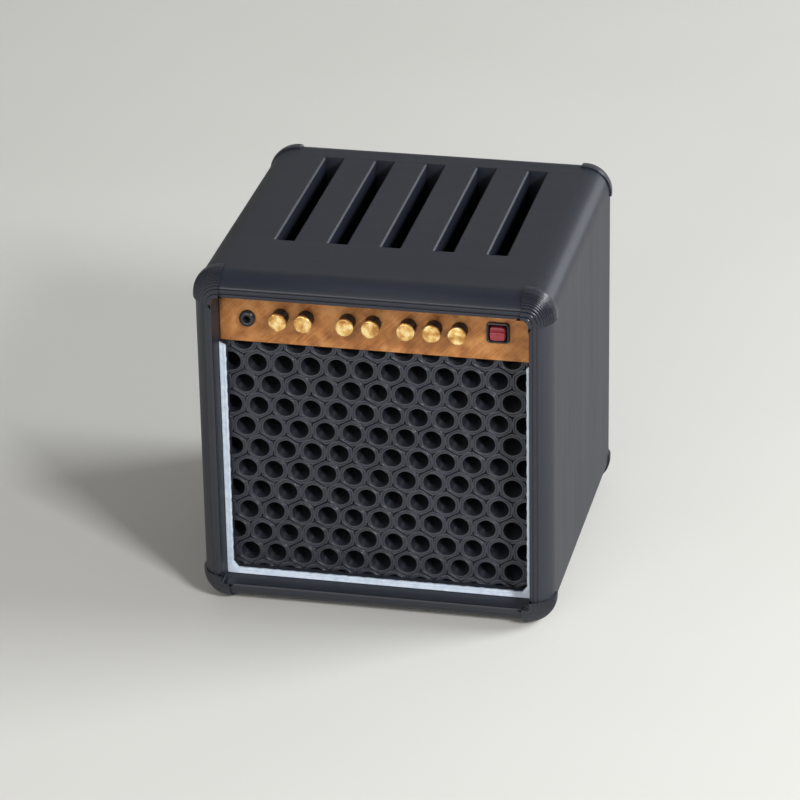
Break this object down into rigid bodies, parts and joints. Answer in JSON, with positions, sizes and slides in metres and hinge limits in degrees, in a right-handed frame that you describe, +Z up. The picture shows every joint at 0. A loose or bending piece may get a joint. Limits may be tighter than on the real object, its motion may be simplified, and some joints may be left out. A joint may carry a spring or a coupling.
{
  "type": "pick holder",
  "caption": "Desktop guitar pick holder shaped like a small combo amplifier, with pick slots in its top, turning knobs and a rocker switch.",
  "frame": {"origin": "on the standing surface, under the middle of the cabinet", "axes": "+Z up, front face towards -Y, +X to the right as seen from the front"},
  "size_m": [0.081, 0.0829, 0.0809],
  "materials": {
    "cabinet_black": "satin black, fine printed layer lines",
    "guard_black": "satin black, stepped layer rings",
    "panel_gold": "silky copper gold print, diagonal infill lines",
    "cap_gold": "silky light gold print",
    "knob_black": "glossy black print",
    "jack_black": "glossy black print",
    "bezel_black": "glossy black print",
    "rocker_red": "semi-gloss red",
    "piping_white": "satin bluish white print",
    "grille_black": "glossy black print, ring tracks"
  },
  "bodies": {
    "amp_body": {"cabinet": "cabinet_black", "control_panel": "panel_gold", "corner_guard_back_bottom_left": "guard_black", "corner_guard_back_bottom_right": "guard_black", "corner_guard_back_top_left": "guard_black", "corner_guard_back_top_right": "guard_black", "corner_guard_front_bottom_left": "guard_black", "corner_guard_front_bottom_right": "guard_black", "corner_guard_front_top_left": "guard_black", "corner_guard_front_top_right": "guard_black", "grille": "grille_black", "input_jack": "jack_black", "piping_frame": "piping_white", "switch_bezel": "bezel_black"},
    "knob_1": {"knob_barrel_1": "knob_black", "knob_cap_1": "cap_gold"},
    "knob_2": {"knob_barrel_2": "knob_black", "knob_cap_2": "cap_gold"},
    "knob_3": {"knob_barrel_3": "knob_black", "knob_cap_3": "cap_gold"},
    "knob_4": {"knob_barrel_4": "knob_black", "knob_cap_4": "cap_gold"},
    "knob_5": {"knob_barrel_5": "knob_black", "knob_cap_5": "cap_gold"},
    "knob_6": {"knob_barrel_6": "knob_black", "knob_cap_6": "cap_gold"},
    "knob_7": {"knob_barrel_7": "knob_black", "knob_cap_7": "cap_gold"},
    "rocker": {"switch_rocker": "rocker_red"}
  },
  "joints": [
    {"name": "knob_1_turn", "type": "hinge", "parent": "amp_body", "child": "knob_1", "pos_m": [-0.0212, -0.0343, 0.06925], "axis": [0, -1, 0], "range_deg": [-150, 150]},
    {"name": "knob_2_turn", "type": "hinge", "parent": "amp_body", "child": "knob_2", "pos_m": [-0.0155, -0.0343, 0.06925], "axis": [0, -1, 0], "range_deg": [-150, 150]},
    {"name": "knob_3_turn", "type": "hinge", "parent": "amp_body", "child": "knob_3", "pos_m": [-0.00615, -0.0343, 0.06925], "axis": [0, -1, 0], "range_deg": [-150, 150]},
    {"name": "knob_4_turn", "type": "hinge", "parent": "amp_body", "child": "knob_4", "pos_m": [-0.00045, -0.0343, 0.06925], "axis": [0, -1, 0], "range_deg": [-150, 150]},
    {"name": "knob_5_turn", "type": "hinge", "parent": "amp_body", "child": "knob_5", "pos_m": [0.00745, -0.0343, 0.06925], "axis": [0, -1, 0], "range_deg": [-150, 150]},
    {"name": "knob_6_turn", "type": "hinge", "parent": "amp_body", "child": "knob_6", "pos_m": [0.01315, -0.0343, 0.06925], "axis": [0, -1, 0], "range_deg": [-150, 150]},
    {"name": "knob_7_turn", "type": "hinge", "parent": "amp_body", "child": "knob_7", "pos_m": [0.01885, -0.0343, 0.06925], "axis": [0, -1, 0], "range_deg": [-150, 150]},
    {"name": "rocker_tilt", "type": "hinge", "parent": "amp_body", "child": "rocker", "pos_m": [0.0273, -0.03355, 0.06925], "axis": [1, 0, 0], "range_deg": [0, 12]}
  ]
}
